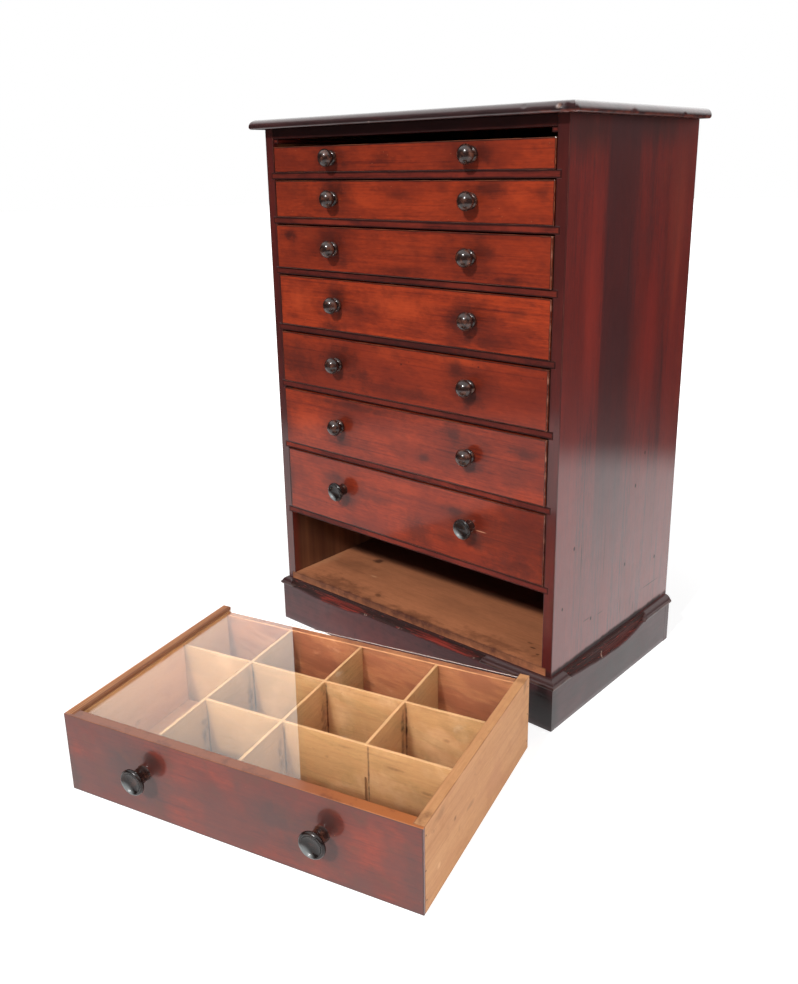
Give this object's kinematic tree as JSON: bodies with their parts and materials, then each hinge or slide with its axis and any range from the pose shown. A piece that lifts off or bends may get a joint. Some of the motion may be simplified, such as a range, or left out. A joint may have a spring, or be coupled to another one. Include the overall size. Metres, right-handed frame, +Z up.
{
  "type": "bird egg collection cabinet",
  "caption": "Upright wooden collection cabinet with graduated glazed drawers on turned knobs, moulded top and plinth, the deepest drawer lifted out in front.",
  "frame": {"origin": "on the ground, under the middle of the box round the cabinet and its lifted-out drawer", "axes": "+X to the right across the cabinet's front, +Y from its front to its back, +Z up"},
  "size_m": [0.478, 0.638, 0.6212],
  "materials": {
    "mahogany_carcase": "gloss",
    "mahogany_front": "gloss",
    "mahogany_dark": "gloss",
    "pine_board": "raw",
    "cedar_box": "raw",
    "pine_dividers": "raw",
    "ebonised_knob": "gloss",
    "window_glass": "clear"
  },
  "bodies": {
    "cabinet": {"top_board": "mahogany_dark", "side_left": "mahogany_carcase", "side_right": "mahogany_carcase", "back_panel": "pine_board", "bottom_board": "pine_board", "dust_boards": "pine_board", "top_rail": "mahogany_carcase", "top_kickers": "pine_board", "plinth_front": "mahogany_dark", "plinth_left": "mahogany_dark", "plinth_right": "mahogany_dark", "plinth_back": "mahogany_dark", "plinth_moulding": "mahogany_dark"},
    "drawer_1": {"drawer_1_front": "mahogany_front", "drawer_1_box": "cedar_box", "drawer_1_dividers": "pine_dividers", "drawer_1_glass": "window_glass", "drawer_1_knobs": "ebonised_knob"},
    "drawer_2": {"drawer_2_front": "mahogany_front", "drawer_2_box": "cedar_box", "drawer_2_dividers": "pine_dividers", "drawer_2_glass": "window_glass", "drawer_2_knobs": "ebonised_knob"},
    "drawer_3": {"drawer_3_front": "mahogany_front", "drawer_3_box": "cedar_box", "drawer_3_dividers": "pine_dividers", "drawer_3_glass": "window_glass", "drawer_3_knobs": "ebonised_knob"},
    "drawer_4": {"drawer_4_front": "mahogany_front", "drawer_4_box": "cedar_box", "drawer_4_dividers": "pine_dividers", "drawer_4_glass": "window_glass", "drawer_4_knobs": "ebonised_knob"},
    "drawer_5": {"drawer_5_front": "mahogany_front", "drawer_5_box": "cedar_box", "drawer_5_dividers": "pine_dividers", "drawer_5_glass": "window_glass", "drawer_5_knobs": "ebonised_knob"},
    "drawer_6": {"drawer_6_front": "mahogany_front", "drawer_6_box": "cedar_box", "drawer_6_dividers": "pine_dividers", "drawer_6_glass": "window_glass", "drawer_6_knobs": "ebonised_knob"},
    "drawer_7": {"drawer_7_front": "mahogany_front", "drawer_7_box": "cedar_box", "drawer_7_dividers": "pine_dividers", "drawer_7_glass": "window_glass", "drawer_7_knobs": "ebonised_knob"},
    "drawer_8": {"drawer_8_front": "mahogany_front", "drawer_8_side_left": "cedar_box", "drawer_8_side_right": "cedar_box", "drawer_8_back": "cedar_box", "drawer_8_bottom": "cedar_box", "drawer_8_knobs": "ebonised_knob", "drawer_8_long_divider_rear": "pine_dividers", "drawer_8_long_divider_front": "pine_dividers", "drawer_8_cross_divider_left": "pine_dividers", "drawer_8_cross_divider_middle": "pine_dividers", "drawer_8_cross_divider_right": "pine_dividers"},
    "drawer_8_lid": {"drawer_8_glass": "window_glass"}
  },
  "joints": [
    {"name": "drawer_1_slide", "type": "slide", "parent": "cabinet", "child": "drawer_1", "axis": [0, -1, 0], "range_m": [0, 0.245]},
    {"name": "drawer_2_slide", "type": "slide", "parent": "cabinet", "child": "drawer_2", "axis": [0, -1, 0], "range_m": [0, 0.245]},
    {"name": "drawer_3_slide", "type": "slide", "parent": "cabinet", "child": "drawer_3", "axis": [0, -1, 0], "range_m": [0, 0.245]},
    {"name": "drawer_4_slide", "type": "slide", "parent": "cabinet", "child": "drawer_4", "axis": [0, -1, 0], "range_m": [0, 0.245]},
    {"name": "drawer_5_slide", "type": "slide", "parent": "cabinet", "child": "drawer_5", "axis": [0, -1, 0], "range_m": [0, 0.245]},
    {"name": "drawer_6_slide", "type": "slide", "parent": "cabinet", "child": "drawer_6", "axis": [0, -1, 0], "range_m": [0, 0.245]},
    {"name": "drawer_7_slide", "type": "slide", "parent": "cabinet", "child": "drawer_7", "axis": [0, -1, 0], "range_m": [0, 0.245]},
    {"name": "drawer_8_lift", "type": "slide", "parent": "cabinet", "child": "drawer_8", "axis": [0, 0, 1], "range_m": [0, 0.0678]},
    {"name": "drawer_8_glass_slide", "type": "slide", "parent": "drawer_8", "child": "drawer_8_lid", "axis": [-0.2554, 0.9668, 0], "range_m": [0, 0.12]}
  ]
}
